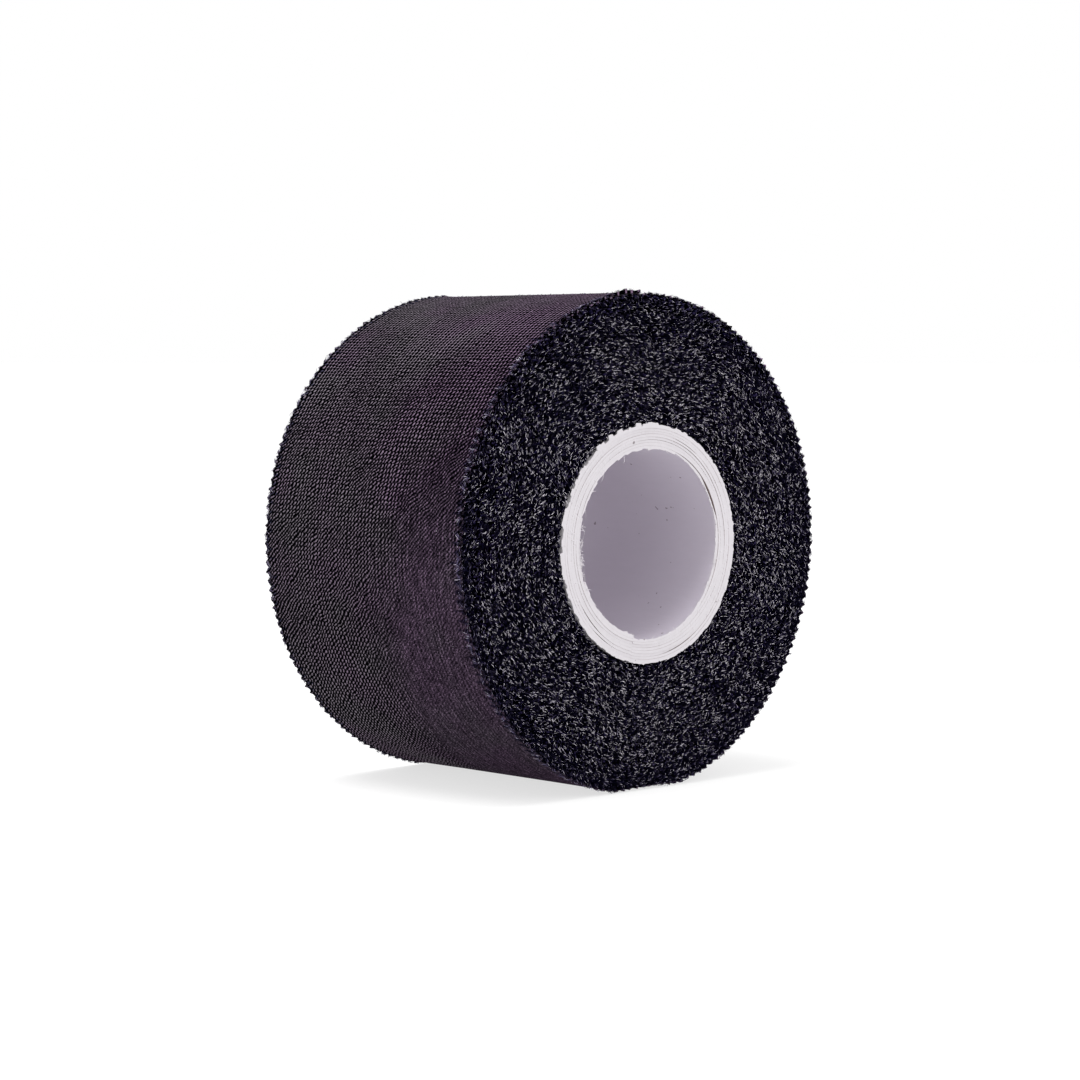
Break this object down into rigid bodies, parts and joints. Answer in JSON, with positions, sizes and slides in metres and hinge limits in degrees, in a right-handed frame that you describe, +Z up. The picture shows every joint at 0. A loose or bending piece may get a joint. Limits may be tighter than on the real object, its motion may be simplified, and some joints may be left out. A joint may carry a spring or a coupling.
{
  "type": "grip tape roll",
  "caption": "Roll of dark cotton grip tape with pinked zigzag edges, wound on a paper tube core, with a free end that peels off.",
  "frame": {"origin": "on the ground, under the middle of the roll, which stands on its rim", "axes": "+Y along the core towards the back end face, +Z up; the front end face looks along -Y and the free end of the tape is at the top, pointing to +X"},
  "size_m": [0.0637, 0.038, 0.0636],
  "materials": {
    "cloth": "matte",
    "winding": "matte",
    "adhesive": "satin",
    "paperboard": "matte",
    "liner": "matte"
  },
  "bodies": {
    "roll": {"core_liner_ply": "liner", "core_ply_2": "paperboard", "core_ply_3": "paperboard", "core_ply_4": "paperboard", "core_ply_5": "paperboard", "core_ply_6": "paperboard", "core_ply_7": "paperboard", "core_ply_8": "paperboard", "wound_tape": "winding"},
    "tape_end_1": {"tape_end_cloth_1": "cloth", "tape_end_adhesive_1": "adhesive"},
    "tape_end_2": {"tape_end_cloth_2": "cloth", "tape_end_adhesive_2": "adhesive"},
    "tape_end_3": {"tape_end_cloth_3": "cloth", "tape_end_adhesive_3": "adhesive"},
    "tape_end_4": {"tape_end_cloth_4": "cloth", "tape_end_adhesive_4": "adhesive"},
    "tape_end_5": {"tape_end_cloth_5": "cloth", "tape_end_adhesive_5": "adhesive"},
    "tape_end_6": {"tape_end_cloth_6": "cloth", "tape_end_adhesive_6": "adhesive"}
  },
  "joints": [
    {"name": "peel_1", "type": "hinge", "parent": "roll", "child": "tape_end_1", "pos_m": [-0.02421, 0, 0.01101], "axis": [0, -1, 0], "range_deg": [0, 55]},
    {"name": "peel_2", "type": "hinge", "parent": "tape_end_1", "child": "tape_end_2", "pos_m": [-0.0301, 0, 0.0213], "axis": [0, -1, 0], "range_deg": [0, 18]},
    {"name": "peel_3", "type": "hinge", "parent": "tape_end_2", "child": "tape_end_3", "pos_m": [-0.0318, 0, 0.03304], "axis": [0, -1, 0], "range_deg": [0, 18]},
    {"name": "peel_4", "type": "hinge", "parent": "tape_end_3", "child": "tape_end_4", "pos_m": [-0.02908, 0, 0.0446], "axis": [0, -1, 0], "range_deg": [0, 18]},
    {"name": "peel_5", "type": "hinge", "parent": "tape_end_4", "child": "tape_end_5", "pos_m": [-0.02232, 0, 0.05436], "axis": [0, -1, 0], "range_deg": [0, 18]},
    {"name": "peel_6", "type": "hinge", "parent": "tape_end_5", "child": "tape_end_6", "pos_m": [-0.01245, 0, 0.06097], "axis": [0, -1, 0], "range_deg": [0, 18]}
  ],
  "couplings": [
    {"joint": "peel_2", "follows": "peel_1", "ratio": 0.32},
    {"joint": "peel_3", "follows": "peel_1", "ratio": 0.32},
    {"joint": "peel_4", "follows": "peel_1", "ratio": 0.32},
    {"joint": "peel_5", "follows": "peel_1", "ratio": 0.32},
    {"joint": "peel_6", "follows": "peel_1", "ratio": 0.32}
  ]
}
